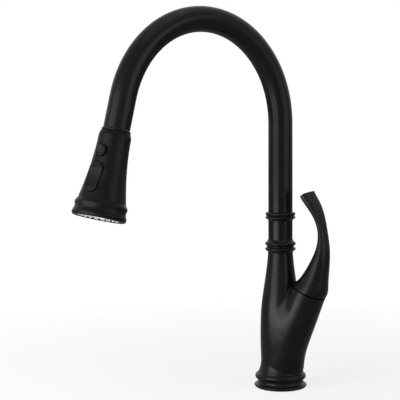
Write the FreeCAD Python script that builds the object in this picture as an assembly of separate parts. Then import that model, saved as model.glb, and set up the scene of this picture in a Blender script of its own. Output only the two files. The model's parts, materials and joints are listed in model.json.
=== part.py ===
import math
import os

import FreeCAD
import Part

# Single-lever kitchen faucet with a pull-down spray head, in millimetres.
# +Z is up, the underside of the base is at Z = 0, and the column axis is the Z axis.
# The spout points to -Y.  The lever's branch leans away from +X by BRANCH_AZIMUTH.

V = FreeCAD.Vector
X_AXIS = V(1, 0, 0)
Y_AXIS = V(0, 1, 0)
Z_AXIS = V(0, 0, 1)

# Clearances
RUN = 0.05              # radial clearance of a running fit
GAP = 0.3               # gap between parts that move past each other
FACE_GAP = 0.1          # axial gap at a face that turns on a washer

# Spout tube
TUBE_R = 13.0
TUBE_WALL = 1.5
COLUMN_TOP = 285.2      # where the straight column ends and the arch begins
ARCH_R = 104.6
HEAD_TILT = 14.5        # the spray head's axis leans outward from the vertical
HEAD_TURN = 17.0        # the head is turned in its dock, with its controls towards +X
TUBE_DROP = 35.3        # straight run after the arch
DOCK_COLLAR_R = 14.1
DOCK_COLLAR_H = 2.6
UPPER_COLLAR_Z = 180.7

# Base and trunk
RING_R = 28.3           # lower ring, widest
RING_BEAD_R = 27.3      # upper ring, widest
RING_H = 17.7
FOOT_R = 23.65          # trunk where it stands on the ring
SPIGOT_FOOT_R = 19.5    # trunk's foot inside the ring
TRUNK_WAIST_R = 21.25
TRUNK_WAIST_Z = 38.0
TRUNK_BELLY_R = 21.6
TRUNK_BELLY_Z = 64.0
NECK_R = 13.4           # trunk's outside at its top
NECK_TOP = 145.3
NECK_SLEEVE_TOP = 152.0
SWIVEL_Z = 152.4        # top of the neck collar, where the spout turns
WASHER_T = 0.5
SHANK_THREAD_R = 15.25
SHANK_THREAD_L = 14.0
CHAMBER_R = 17.5
CHAMBER_TOP = 50.0
GASKET_IN_R = 22.3
GASKET_OUT_R = 24.3
GASKET_H = 2.0

# Water and hose ways through the trunk
HOSE_WAY_R = 8.0
HOSE_WAY_SHIFT = 5.5    # at the chamber's roof; it runs to the axis at the neck
PORT_R = 4.46           # M10 x 1 female thread, minor radius
PORT_L = 12.0
PORT_SIDE = 9.6
PORT_FORWARD = 4.0
OUTLET_FORWARD = 10.3

# Neck bearing
BEARING_R = 11.2        # bore of the neck
BEARING_BOTTOM = 118.0
SPIGOT_R = 9.15
SPIGOT_BORE_R = 7.6
SPIGOT_PLUG_L = 15.0    # the part brazed into the tube
BUSH_H = 9.0
SEAL_H = 2.4
SNAP_T = 1.2
SNAP_GAP = 0.6          # between the snap ring and the neck's bore
SNAP_R = BEARING_R - SNAP_GAP

# Branch, seam and cartridge
BRANCH_AZIMUTH = 18.5   # from +X towards +Y
BRANCH_TILT = 24.0      # cartridge axis from the vertical
SEAM_OUT = 34.5         # centre of the seam from the column axis
SEAM_Z = 107.0
SEAM_R = 18.9
BRANCH_FOOT_OUT = 4.0   # the branch's foot off the column axis
BRANCH_FOOT_R = 20.9
PIVOT_DEPTH = 12.0      # lever's pivot below the seam, on the cartridge axis
CART_BORE_R = 12.8
CART_DEPTH = 32.0       # seat below the seam
CART_GAP = 0.3          # around the cartridge in its bore
CART_WALL = 1.7
CART_R = CART_BORE_R - CART_GAP
CART_IN_R = CART_R - CART_WALL
CART_PORTS = ((-1.8, 4.5), (-1.8, -4.5), (5.6, 0.0))
CART_PORT_R = 2.0
CART_SEAL_R = 2.9
CART_SEAL_T = 0.6
CART_BASE_T = 1.6
CART_TOP = 8.2          # housing's top below the seam
DISC_T = 3.0
DISC_R = 8.2            # moving disc
DISC_SHIFT = 2.2        # its centre off the cartridge axis when the water is shut
DISC_HOLLOW_R = 7.0
DISC_HOLLOW_T = 1.4
DISC_SOCKET_T = 1.2
STEM_PIN_R = 1.2
STEM_FOOT_R = 1.9
STEM_W = 6.4
STEM_TOP = 23.5         # above the seam, inside the lever
LEVER_LIFT = 20.0

# Lever
LEVER_TIP_Z = 210.3
LEVER_SCREW_R = 2.1
LEVER_SCREW_L = 6.0
LEVER_SCREW_S = 17.0    # above the seam, on the side turned away from the front
LEVER_PLUG_GAP = 1.5    # between the grub screw and its plug

# Spray head, along its own axis from the dock
HEAD_L = 84.4
HEAD_TOP_R = 14.2
SHOULDER_R = 15.7
SHOULDER_H = 5.5
HEAD_FLARE_R = 22.9
HEAD_FLARE_H = 65.9
FLARE_POWER = 1.8
SHELL_WALL = 2.0
RING_LIP_R = 24.15
RING_LIP_H = 68.9
BEAD_R = 25.5
BEAD_H = 71.6
WAIST_R = 24.8
WAIST_H = 75.5
RIM_R = 26.3
RIM_H = 80.9
FACE_R = 22.6
FACE_T = 2.4
FACE_RECESS = 1.6
NOZZLE_RINGS = ((19.0, 20), (15.0, 15), (11.2, 11))
NOZZLE_R = 1.15
NOZZLE_TIP_R = 0.8
AERATOR_R = 7.6
CORE_R = 9.0            # inner waterway block
CORE_TOP_H = 12.0
DOCK_L = 20.0
DOCK_R = 10.6
DOCK_TIP_R = 9.3
INLET_R = 7.2
INLET_THREAD_R = 5.5
INLET_THREAD_L = 9.0
INLET_BORE_R = 4.0

# Controls on the spray head
BUTTON_H = 21.0
BUTTON_R = 5.6
BUTTON_STAND = 2.0      # how far it stands proud of the shell
BUTTON_TRAVEL = 2.5
ROCKER_H = 47.6
ROCKER_L = 29.2
ROCKER_W = 14.6
ROCKER_STAND = 1.1
ROCKER_PIN_R = 1.0
ROCKER_PIN_DEPTH = 2.6
ROCKER_PIN_L = 17.6
ROCKER_POST_R = 1.3
PAD_W = 1.8             # flat surround of the rocker
PAD_SINK = 0.8          # its face below the shell's own surface
PAD_FLANK_W = 1.8
PAD_FLANK_T = 3.0
SPOOL_R = 3.0
SPOOL_Y = -3.6          # spool's axis off the head's own
SPOOL_HALF = 9.5


def edge_to(last, step):
    """One edge of an outline: a line to (r, z), or an arc through one point to the next."""
    if isinstance(step[0], (int, float)):
        end = V(step[0], 0, step[1])
        return Part.LineSegment(last, end).toShape(), end
    if len(step) == 2:
        via = V(step[0][0], 0, step[0][1])
        end = V(step[1][0], 0, step[1][1])
        return Part.Arc(last, via, end).toShape(), end
    points = [last] + [V(r, 0, z) for r, z in step]
    curve = Part.BSplineCurve()
    curve.interpolate(Points=points)
    return curve.toShape(), points[-1]


def lathe(start, *steps):
    """A solid turned about Z from an outline in the XZ plane, closed back to its start."""
    first = V(start[0], 0, start[1])
    last = first
    edges = []
    for step in steps:
        edge, last = edge_to(last, step)
        edges.append(edge)
    if (last - first).Length > 1e-6:
        edges.append(Part.LineSegment(last, first).toShape())
    face = Part.Face(Part.Wire(edges))
    return face.revolve(V(0, 0, 0), Z_AXIS, 360)


def rod(radius, low, high, x=0.0, y=0.0):
    """A cylinder along Z from low to high."""
    return Part.makeCylinder(radius, high - low, V(x, y, low), Z_AXIS)


def tube(outer, inner, low, high):
    """A plain ring along Z."""
    return rod(outer, low, high).cut(rod(inner, low - 1, high + 1))


def bar(start, end, radius):
    """A cylinder between two points."""
    along = end - start
    return Part.makeCylinder(radius, along.Length, start, along)


def turned(shape, axis, angle):
    """A copy of the shape, turned about an axis through the origin."""
    copy = shape.copy()
    copy.rotate(V(0, 0, 0), axis, angle)
    return copy


def moved(shape, x, y, z):
    """A copy of the shape, shifted."""
    copy = shape.copy()
    copy.translate(V(x, y, z))
    return copy


def on_branch(shape):
    """From the branch's frame (+Z along the cartridge, +X outward, origin at the seam)."""
    tilted = moved(turned(shape, Y_AXIS, BRANCH_TILT), SEAM_OUT, 0, SEAM_Z)
    return turned(tilted, Z_AXIS, BRANCH_AZIMUTH)


def on_dock(shape):
    """From the dock's frame (+Z up the tube's last run, -Y outward, origin at the tube's end)."""
    out, up = dock_point()
    return moved(turned(shape, X_AXIS, -HEAD_TILT), 0, -out, up)


def on_head(shape):
    """From the spray head's frame: the dock's, turned with the controls on -Y."""
    return on_dock(turned(shape, Z_AXIS, HEAD_TURN))


def arch_end():
    """Distance from the column and height where the arch meets the last straight run."""
    tilt = math.radians(HEAD_TILT)
    return ARCH_R * (1 + math.cos(tilt)), COLUMN_TOP + ARCH_R * math.sin(tilt)


def dock_point():
    """Distance from the column and height of the tube's end."""
    tilt = math.radians(HEAD_TILT)
    out, up = arch_end()
    return out + TUBE_DROP * math.sin(tilt), up - TUBE_DROP * math.cos(tilt)


def branch_point(along, outward=0.0):
    """Distance from the column and height of a point in the branch's frame."""
    tilt = math.radians(BRANCH_TILT)
    out = SEAM_OUT + along * math.sin(tilt) + outward * math.cos(tilt)
    up = SEAM_Z + along * math.cos(tilt) - outward * math.sin(tilt)
    return out, up


# Base and body

def base_ring():
    """Turned ring with a rounded foot, a cove and a bead, on which the trunk stands."""
    ring_solid = lathe(
        (SPIGOT_FOOT_R, 0),
        (RING_R - 3.4, 0),
        ((RING_R - 1.0, 1.1), (RING_R, 2.7)),
        ((RING_R - 0.2, 3.4), (RING_R - 0.8, 3.9)),
        ((RING_R - 3.3, 5.4), (RING_R - 3.9, 8.2)),
        (RING_R - 3.9, 8.9),
        ((RING_BEAD_R, 12.4), (RING_BEAD_R - 1.9, 15.8)),
        (FOOT_R + 0.5, 16.2),
        (FOOT_R, RING_H),
        (SPIGOT_FOOT_R, RING_H),
    )
    groove = tube(GASKET_OUT_R, GASKET_IN_R, -1, GASKET_H)
    return ring_solid.cut(groove)


def base_gasket():
    """Flat rubber seal in the underside's groove."""
    return tube(GASKET_OUT_R, GASKET_IN_R, 0, GASKET_H)


def trunk_outside():
    """Waisted round trunk from the ring to the neck."""
    return lathe(
        (0, 0),
        (SPIGOT_FOOT_R, 0),
        (SPIGOT_FOOT_R, RING_H),
        (FOOT_R, RING_H),
        ((FOOT_R - 1.6, RING_H + 4.3), (TRUNK_WAIST_R, TRUNK_WAIST_Z), (TRUNK_BELLY_R, TRUNK_BELLY_Z),
         (20.5, 89), (17.4, 112), (14.2, 136), (NECK_R, NECK_TOP)),
        (NECK_R - 0.4, NECK_TOP),
        (NECK_R - 0.4, NECK_SLEEVE_TOP),
        (0, NECK_SLEEVE_TOP),
    )


def branch_outside():
    """Round horn that leaves the trunk upright, bends outward and ends at the seam."""
    tilt = math.radians(BRANCH_TILT)
    foot_z = RING_H
    corner_z = SEAM_Z - (SEAM_OUT - BRANCH_FOOT_OUT) / math.tan(tilt)
    bend_r = (corner_z - foot_z) / math.tan(tilt / 2)
    bend_out = BRANCH_FOOT_OUT + bend_r * (1 - math.cos(tilt))
    bend_z = foot_z + bend_r * math.sin(tilt)
    stations = (
        (BRANCH_FOOT_OUT, foot_z, 0.0, BRANCH_FOOT_R),
        (BRANCH_FOOT_OUT + bend_r * (1 - math.cos(tilt / 2)),
         foot_z + bend_r * math.sin(tilt / 2), BRANCH_TILT / 2, 21.6),
        (bend_out, bend_z, BRANCH_TILT, 21.3),
        ((2 * bend_out + SEAM_OUT) / 3, (2 * bend_z + SEAM_Z) / 3, BRANCH_TILT, 20.5),
        ((bend_out + 2 * SEAM_OUT) / 3, (bend_z + 2 * SEAM_Z) / 3, BRANCH_TILT, 19.6),
        (SEAM_OUT, SEAM_Z, BRANCH_TILT, SEAM_R),
    )
    wires = []
    for out, up, lean, radius in stations:
        normal = V(math.sin(math.radians(lean)), 0, math.cos(math.radians(lean)))
        wires.append(Part.Wire(Part.makeCircle(radius, V(out, 0, up), normal)))
    return Part.makeLoft(wires, True, False)


def seat_port(forward, side):
    """A point on the cartridge's seat, in the trunk's frame before it is turned."""
    out, up = branch_point(-CART_DEPTH, forward)
    return V(out, side, up)


def body_shell():
    """Y-shaped casting: trunk, lever branch, hose way, neck bore and cartridge bore."""
    shell = trunk_outside().fuse(branch_outside())
    relief = rod(SEAM_R + 1.0, 0, 12)
    relief = moved(turned(relief, Y_AXIS, BRANCH_TILT), SEAM_OUT, 0, SEAM_Z)
    bore = rod(CART_BORE_R, -CART_DEPTH, 5)
    bore = moved(turned(bore, Y_AXIS, BRANCH_TILT), SEAM_OUT, 0, SEAM_Z)
    hose_way = bar(V(-HOSE_WAY_SHIFT, 0, CHAMBER_TOP - 1), V(0, 0, BEARING_BOTTOM + 1), HOSE_WAY_R)
    cuts = [
        relief,
        bore,
        rod(SHANK_THREAD_R, -1, SHANK_THREAD_L),
        rod(CHAMBER_R, SHANK_THREAD_L, CHAMBER_TOP),
        hose_way,
        rod(BEARING_R, BEARING_BOTTOM, NECK_SLEEVE_TOP + 1),
    ]
    port_top = CHAMBER_TOP + PORT_L
    sockets = ((PORT_FORWARD, PORT_SIDE), (PORT_FORWARD, -PORT_SIDE), (OUTLET_FORWARD, 0.0))
    for (forward, side), place in zip(sockets, CART_PORTS):
        cuts.append(rod(PORT_R, CHAMBER_TOP - 1, port_top, forward, side))
        cuts.append(bar(V(forward, side, port_top - CART_PORT_R), seat_port(*place), CART_PORT_R))
    shell = shell.cut(cuts)
    return turned(shell, Z_AXIS, BRANCH_AZIMUTH)


def neck_collar():
    """Turned lip around the top of the trunk."""
    return lathe(
        (NECK_R - 0.4, NECK_TOP),
        (NECK_R, NECK_TOP),
        ((NECK_R + 0.6, 147.6), (15.8, 148.9)),
        ((16.4, 150.4), (15.6, 151.6)),
        (14.6, SWIVEL_Z),
        (NECK_R - 0.4, SWIVEL_Z),
    )


def swivel_washer():
    """Thin plastic washer that carries the spout on the neck collar."""
    return tube(14.2, NECK_R - 0.4, SWIVEL_Z, SWIVEL_Z + WASHER_T)


def neck_bushes():
    """Two plastic bushes in the neck, between which the seal lies."""
    low = BEARING_BOTTOM + SNAP_T + 3.0
    top = NECK_SLEEVE_TOP
    lower = tube(BEARING_R, SPIGOT_R + RUN, low, low + BUSH_H)
    upper = tube(BEARING_R, SPIGOT_R + RUN, top - BUSH_H, top)
    return Part.makeCompound([lower, upper])


def neck_seal():
    """Lip seal between the bushes."""
    low = BEARING_BOTTOM + SNAP_T + 3.0 + BUSH_H + 2.0
    return tube(BEARING_R, SPIGOT_R + RUN, low, low + SEAL_H)


# Cartridge, in the branch's frame

def port_rods(low, high):
    """A rod through each of the cartridge's three ports."""
    return [rod(CART_PORT_R, low, high, x, y) for x, y in CART_PORTS]


def housing_floor():
    """Height of the floor on which the fixed disc lies."""
    return -CART_DEPTH + CART_SEAL_T + CART_BASE_T


def moving_disc_low():
    """Height of the moving disc's underside."""
    return housing_floor() + DISC_T + RUN


def cartridge_housing():
    """Cup that holds the ceramic discs and the turning carrier."""
    cup = rod(CART_R, -CART_DEPTH + CART_SEAL_T, -CART_TOP)
    inside = rod(CART_IN_R, housing_floor(), -CART_TOP - 1.8)
    mouth = rod(CART_IN_R - 1.8, -CART_TOP - 2.8, -CART_TOP + 1)
    return on_branch(cup.cut([inside, mouth] + port_rods(-CART_DEPTH, housing_floor() + 1)))


def seat_seals():
    """Three small seals between the cartridge and its seat."""
    solids = []
    for forward, side in CART_PORTS:
        outer = rod(CART_SEAL_R, -CART_DEPTH, -CART_DEPTH + CART_SEAL_T, forward, side)
        inner = rod(CART_PORT_R, -CART_DEPTH - 1, -CART_DEPTH + 1, forward, side)
        solids.append(on_branch(outer.cut(inner)))
    return Part.makeCompound(solids)


def fixed_disc():
    """Ceramic disc with the three ports."""
    low = housing_floor()
    disc = rod(CART_IN_R, low, low + DISC_T)
    return on_branch(disc.cut(port_rods(low - 1, low + DISC_T + 1)))


def moving_disc():
    """Smaller ceramic disc that the stem slides over the fixed one."""
    low = moving_disc_low()
    disc = rod(DISC_R, low, low + DISC_T, DISC_SHIFT)
    bowl = rod(DISC_HOLLOW_R, low - 1, low + DISC_HOLLOW_T, DISC_SHIFT)
    half = Part.makeBox(2 * DISC_R, 2 * DISC_R, 4, V(0.6, -DISC_R, low - 2))
    socket_w = 2 * (STEM_FOOT_R + 0.8)
    socket_d = 2 * (STEM_FOOT_R + 0.2)
    corner = V(-socket_w / 2, -socket_d / 2, low + DISC_T - DISC_SOCKET_T)
    socket = Part.makeBox(socket_w, socket_d, 4, corner)
    return on_branch(disc.cut([bowl.common(half), socket]))


def cartridge_carrier():
    """Turning part of the cartridge, slotted for the stem and bored for its pin."""
    low = moving_disc_low() + DISC_T + GAP
    block = rod(CART_IN_R - RUN - 0.1, low, -CART_TOP - 2.0)
    neck = rod(CART_IN_R - 2.0, -CART_TOP - 2.1, -CART_TOP - 0.4)
    carrier = block.fuse(neck)
    slot_w = STEM_W + 2 * GAP
    slot = Part.makeBox(16.4, slot_w, 40, V(-8.2, -slot_w / 2, -40))
    pin = Part.makeCylinder(STEM_PIN_R, 18.4, V(0, -9.2, -PIVOT_DEPTH), Y_AXIS)
    return on_branch(carrier.cut([slot, pin]))


def stem_pin():
    """Steel pin on which the stem tilts."""
    return on_branch(Part.makeCylinder(STEM_PIN_R, 18.2, V(0, -9.1, -PIVOT_DEPTH), Y_AXIS))


def cartridge_stem():
    """Square lever stem with its driving foot below and its head up inside the lever."""
    half = STEM_W / 2
    low = -PIVOT_DEPTH - 5
    shank = Part.makeBox(STEM_W, STEM_W, STEM_TOP - low, V(-half, -half, low))
    foot = rod(STEM_FOOT_R, moving_disc_low() + DISC_T - 0.65, low + 1)
    pin = Part.makeCylinder(STEM_PIN_R + RUN, 20, V(0, -10, -PIVOT_DEPTH), Y_AXIS)
    return on_branch(shank.fuse(foot).cut(pin))


def cartridge_nut():
    """Threaded brass ring that clamps the cartridge."""
    return on_branch(tube(CART_BORE_R, CART_IN_R - 0.2, -CART_TOP + 0.2, -3.2))


def bonnet():
    """Domed ring on the branch; its sphere is centred on the lever's pivot."""
    dome_r = math.hypot(SEAM_R, PIVOT_DEPTH)
    ball = Part.makeSphere(dome_r, V(0, 0, -PIVOT_DEPTH))
    inside = Part.makeSphere(dome_r - 1.8, V(0, 0, -PIVOT_DEPTH))
    slab = rod(SEAM_R + 5, 0, 30)
    skirt = tube(CART_BORE_R, CART_BORE_R - 1.5, -3.0, 0)
    hole_r = dome_r * math.sin(math.radians(LEVER_LIFT + 11.5))
    hole = rod(hole_r, -1, 40)
    dome = ball.cut(inside).common(slab)
    lip = tube(SEAM_R - 0.05, CART_BORE_R - 1.5, 0, 1.2).common(ball)
    return on_branch(dome.fuse([lip, skirt]).cut(hole))


# Lever

def section_point(spec, angle):
    """A point of a lever section: a superellipse turned about the section's own axis."""
    out, up, lean, wide, thick, power, twist = spec
    cosine, sine = math.cos(angle), math.sin(angle)
    across = wide * math.copysign(abs(cosine) ** (2.0 / power), cosine)
    deep = thick * math.copysign(abs(sine) ** (2.0 / power), sine)
    turn = math.radians(twist)
    side = across * math.cos(turn) - deep * math.sin(turn)
    radial = across * math.sin(turn) + deep * math.cos(turn)
    slope = math.radians(lean)
    return V(out + radial * math.cos(slope), side, up - radial * math.sin(slope))


def lever_outside():
    """Round at the seam, drawn out into a twisted blade that curves back to the column."""
    base_out, base_up = branch_point(0.7)
    # distance out, height, lean, half width, half thickness, squareness, twist
    sections = (
        (base_out, base_up, BRANCH_TILT, SEAM_R, SEAM_R, 2.0, 0.0),
        (41.9, 119.2, 24.0, 15.2, 14.7, 2.0, 0.0),
        (47.2, 136.6, 18.0, 11.4, 9.9, 2.1, 8.0),
        (50.7, 153.7, 8.0, 8.2, 5.7, 2.4, 14.0),
        (50.2, 170.5, -8.0, 6.4, 3.2, 3.0, 16.0),
        (45.7, 187.2, -22.0, 7.9, 2.9, 4.0, 13.0),
        (37.6, 201.5, -33.0, 10.6, 3.2, 5.0, 10.0),
        (32.0, LEVER_TIP_Z, -38.0, 11.3, 3.4, 5.0, 9.0),
    )
    count = 28
    wires = []
    for spec in sections:
        points = [section_point(spec, 2 * math.pi * (i + 0.5) / count) for i in range(count)]
        curve = Part.BSplineCurve()
        curve.interpolate(Points=points, PeriodicFlag=True)
        wires.append(Part.Wire(curve.toShape()))
    return Part.makeLoft(wires, True, False)


def lever_handle():
    """The lever: outside form, less the spherical cup, the stem socket and the screw hole."""
    outside = turned(lever_outside(), Z_AXIS, BRANCH_AZIMUTH)
    cup_r = math.hypot(SEAM_R, PIVOT_DEPTH) + GAP
    cup = on_branch(Part.makeSphere(cup_r, V(0, 0, -PIVOT_DEPTH)))
    half = STEM_W / 2 + RUN
    socket = on_branch(Part.makeBox(2 * half, 2 * half, STEM_TOP + 0.5, V(-half, -half, 0)))
    return outside.cut([cup, socket, on_branch(screw_way(0, 40))])


def screw_way(start, length):
    """The grub screw's cylinder, crosswise in the branch's frame."""
    return Part.makeCylinder(LEVER_SCREW_R, length, V(0, start, LEVER_SCREW_S), Y_AXIS)


def lever_screw():
    """Grub screw that holds the lever on the stem."""
    start = STEM_W / 2 + RUN
    key = Part.makeCylinder(1.0, 3.0, V(0, start + LEVER_SCREW_L - 2.5, LEVER_SCREW_S), Y_AXIS)
    return on_branch(screw_way(start, LEVER_SCREW_L).cut(key))


def lever_plug():
    """Small plug that closes the grub screw's hole flush with the lever."""
    outside = turned(lever_outside(), Z_AXIS, BRANCH_AZIMUTH)
    start = STEM_W / 2 + RUN + LEVER_SCREW_L + LEVER_PLUG_GAP
    return on_branch(screw_way(start, 40 - start)).common(outside)


# Spout

def arch_solid(radius):
    """Column, arch and last straight run as one round bar of the given radius."""
    bottom = SWIVEL_Z + WASHER_T + FACE_GAP
    column = Part.makeCylinder(radius, COLUMN_TOP - bottom, V(0, 0, bottom), Z_AXIS)
    disc = Part.Face(Part.Wire(Part.makeCircle(radius, V(0, 0, COLUMN_TOP), Z_AXIS)))
    arch = disc.revolve(V(0, -ARCH_R, COLUMN_TOP), X_AXIS, 180 - HEAD_TILT)
    out, up = arch_end()
    end_out, end_up = dock_point()
    drop = bar(V(0, -out, up), V(0, -end_out, end_up), radius)
    return column, arch, drop


def spout_tube():
    """Bent tube from the swivel to the dock."""
    outer = arch_solid(TUBE_R)
    inner = arch_solid(TUBE_R - TUBE_WALL)
    pieces = [a.cut(b) for a, b in zip(outer, inner)]
    return pieces[0].fuse(pieces[1:]).removeSplitter()


def spout_spigot():
    """Turned insert in the tube's foot, which turns in the neck."""
    foot = SWIVEL_Z + WASHER_T + FACE_GAP
    low = BEARING_BOTTOM + 0.6
    groove_z = BEARING_BOTTOM + 1.2
    return lathe(
        (SPIGOT_BORE_R, low),
        (SPIGOT_R, low),
        (SPIGOT_R, groove_z),
        (SPIGOT_R - 0.6, groove_z),
        (SPIGOT_R - 0.6, groove_z + SNAP_T),
        (SPIGOT_R, groove_z + SNAP_T),
        (SPIGOT_R, foot),
        (TUBE_R - TUBE_WALL, foot),
        (TUBE_R - TUBE_WALL, foot + SPIGOT_PLUG_L),
        (SPIGOT_BORE_R, foot + SPIGOT_PLUG_L),
    )


def snap_ring():
    """Open spring ring that keeps the spigot in the neck."""
    groove_z = BEARING_BOTTOM + 1.2
    full = tube(SNAP_R, SPIGOT_R - 0.6, groove_z, groove_z + SNAP_T)
    mouth = Part.makeBox(20, 5, 4, V(0, -2.5, groove_z - 1))
    return full.cut(mouth)


def spout_collar():
    """Lower collar on the tube: a sharp bead that runs up to the tube in a cove."""
    low = SWIVEL_Z + WASHER_T + FACE_GAP
    return lathe(
        (TUBE_R, low),
        (14.5, low),
        (15.3, low + 1.2),
        ((16.45, low + 3.1), (15.6, low + 4.6)),
        ((14.0, low + 6.0), (TUBE_R + 0.25, low + 7.9)),
        (TUBE_R, low + 7.9),
    )


def upper_collar():
    """Decorative collar higher on the column: cove, bead, groove and lip."""
    low = UPPER_COLLAR_Z
    return lathe(
        (TUBE_R, low),
        (TUBE_R + 0.25, low),
        ((14.2, low + 1.6), (15.4, low + 2.2)),
        ((16.15, low + 3.1), (15.6, low + 4.4)),
        (14.9, low + 5.2),
        (15.5, low + 5.8),
        ((16.05, low + 7.0), (15.6, low + 8.6)),
        (14.6, low + 9.1),
        (TUBE_R, low + 9.1),
    )


def dock_collar():
    """Thin ring at the tube's end."""
    top = DOCK_COLLAR_H
    return on_dock(lathe(
        (TUBE_R, 0),
        (DOCK_COLLAR_R - 0.5, 0),
        ((DOCK_COLLAR_R, 0.9), (DOCK_COLLAR_R - 0.1, 1.7)),
        (TUBE_R + 0.2, top),
        (TUBE_R, top),
    ))


def dock_bush():
    """Plastic liner in the tube's end that guides the spray head home."""
    inner_low = DOCK_R + GAP
    inner_top = DOCK_TIP_R + GAP
    outer = TUBE_R - TUBE_WALL
    return on_dock(lathe(
        (inner_low, 0.2),
        (outer, 0.2),
        (outer, DOCK_L + 2.0),
        (inner_top, DOCK_L + 2.0),
        (inner_top, DOCK_L),
    ))


# Spray head, in its own frame with the dock at Z = 0 and the face at Z = -HEAD_L

def head_outline_r(depth):
    """Radius of the shell's outside at a distance below the dock: a round shoulder, then a flare."""
    if depth < SHOULDER_H:
        return HEAD_TOP_R + (SHOULDER_R - HEAD_TOP_R) * math.sin(math.pi / 2 * depth / SHOULDER_H)
    share = (depth - SHOULDER_H) / (HEAD_FLARE_H - SHOULDER_H)
    return SHOULDER_R + (HEAD_FLARE_R - SHOULDER_R) * share ** FLARE_POWER


def outline_run(offset, top, bottom, steps):
    """Points down the shell's outside, moved inward by the offset, without the first."""
    points = []
    for i in range(1, steps + 1):
        depth = top + (bottom - top) * i / steps
        points.append((head_outline_r(depth) - offset, -depth))
    return tuple(points)


def head_solid(offset, top, bottom):
    """The shell's outside form, moved inward by the offset, as a full solid."""
    return lathe(
        (0, -top),
        (head_outline_r(top) - offset, -top),
        outline_run(offset, top, SHOULDER_H, 3),
        outline_run(offset, SHOULDER_H, bottom, 6),
        (0, -bottom),
    )


def radial_rod(radius, inner, outer, depth):
    """A cylinder along -Y between two distances from the head's axis."""
    return Part.makeCylinder(radius, outer - inner, V(0, -inner, -depth), V(0, -1, 0))


def oblong_wire(length, width, z):
    """A round-ended outline in the rocker's frame, its length along Y."""
    half = (length - width) / 2
    side = width / 2
    right = Part.LineSegment(V(side, -half, z), V(side, half, z))
    far = Part.Arc(V(side, half, z), V(0, half + side, z), V(-side, half, z))
    left = Part.LineSegment(V(-side, half, z), V(-side, -half, z))
    near = Part.Arc(V(-side, -half, z), V(0, -half - side, z), V(side, -half, z))
    return Part.Wire([right.toShape(), far.toShape(), left.toShape(), near.toShape()])


def oblong(length, width, low, high):
    """A round-ended bar in the rocker's frame: length along Y, height along Z."""
    return Part.Face(oblong_wire(length, width, low)).extrude(V(0, 0, high - low))


def rocker_pad():
    """Flat surround of the rocker, whose flanks slope down into the shell."""
    length = ROCKER_L + 2 * PAD_W
    width = ROCKER_W + 2 * PAD_W
    flank = 2 * PAD_FLANK_W
    foot = oblong_wire(length + flank, width + flank, -PAD_SINK - PAD_FLANK_T)
    return Part.makeLoft([foot, oblong_wire(length, width, -PAD_SINK)], True, True)


def on_rocker(shape):
    """From the rocker's frame (+Z out of the shell, +Y up the head) to the head's."""
    slope = rocker_slope()
    placed = turned(shape, X_AXIS, 90 - slope)
    return moved(placed, 0, -head_outline_r(ROCKER_H), -ROCKER_H)


def rocker_slope():
    """Slope of the shell's side at the rocker, in degrees."""
    rise = head_outline_r(ROCKER_H + 8) - head_outline_r(ROCKER_H - 8)
    return math.degrees(math.atan(rise / 16))


def spray_shell():
    """Flared casing with the button's well and the rocker's pocket."""
    top, bottom = 0.35, HEAD_FLARE_H
    outer = head_solid(0, top, bottom)
    inner = head_solid(SHELL_WALL, top + 2.6, bottom + 0.001)
    dock_hole = rod(DOCK_R - 0.6, -4, 1)
    shell = outer.cut([inner, dock_hole])
    surface = head_outline_r(BUTTON_H)
    boss = radial_rod(BUTTON_R + 2.0, CORE_R + 0.6, surface - 0.8, BUTTON_H)
    pocket = on_rocker(oblong(ROCKER_L + 4.6, ROCKER_W + 4.6, -7.4, -0.8))
    pocket = pocket.common(head_solid(0.6, SHOULDER_H - 1, bottom - 1))
    shell = shell.fuse([boss, pocket, on_rocker(rocker_pad())])
    well = radial_rod(BUTTON_R + GAP, surface - 5.2, surface + 5, BUTTON_H)
    rebate = radial_rod(BUTTON_R + 1.5, surface - 1.6, surface + 5, BUTTON_H)
    stem_hole = radial_rod(1.9, CORE_R - 1, surface, BUTTON_H)
    trough = on_rocker(oblong(ROCKER_L + 2 * GAP, ROCKER_W + 2 * GAP, -6.2, 8))
    clear = on_rocker(oblong(ROCKER_L + 2 * PAD_W, ROCKER_W + 2 * PAD_W, -PAD_SINK, 8))
    pin = on_rocker(rocker_pin_rod(ROCKER_PIN_R, ROCKER_PIN_L + 0.2))
    post_way = on_rocker(oblong(7.0, 3.6, -12, 0))
    return on_head(shell.cut([well, rebate, stem_hole, trough, clear, pin, post_way]))


def rocker_pin_rod(radius, length):
    """A cylinder along the rocker's pin, in the rocker's frame."""
    return Part.makeCylinder(radius, length, V(-length / 2, 0, -ROCKER_PIN_DEPTH), X_AXIS)


def face_ring():
    """Bead, waist and rim that screw onto the shell and hold the face."""
    top = -HEAD_FLARE_H
    inner = FACE_R
    return on_head(lathe(
        (inner - 0.6, top),
        (HEAD_FLARE_R - 0.1, top),
        ((HEAD_FLARE_R + 0.35, top - 1.5), (RING_LIP_R, -RING_LIP_H)),
        (RING_LIP_R + 0.2, -RING_LIP_H - 0.5),
        ((BEAD_R, -BEAD_H), (WAIST_R + 0.1, -BEAD_H - 2.2)),
        ((WAIST_R - 0.05, -WAIST_H), (WAIST_R + 0.5, -WAIST_H - 2.6)),
        ((RIM_R - 0.5, -RIM_H + 1.5), (RIM_R, -RIM_H)),
        ((RIM_R - 0.35, -RIM_H - 2.2), (RIM_R - 1.6, -HEAD_L)),
        (inner, -HEAD_L),
        (inner, -HEAD_L + FACE_RECESS + FACE_T),
        (inner - 0.6, -HEAD_L + FACE_RECESS + FACE_T),
    ))


def nozzle_places():
    """Centres of the nozzles on the face."""
    places = []
    for radius, count in NOZZLE_RINGS:
        for i in range(count):
            angle = 2 * math.pi * (i + 0.5) / count
            places.append((radius * math.cos(angle), radius * math.sin(angle)))
    return places


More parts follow.
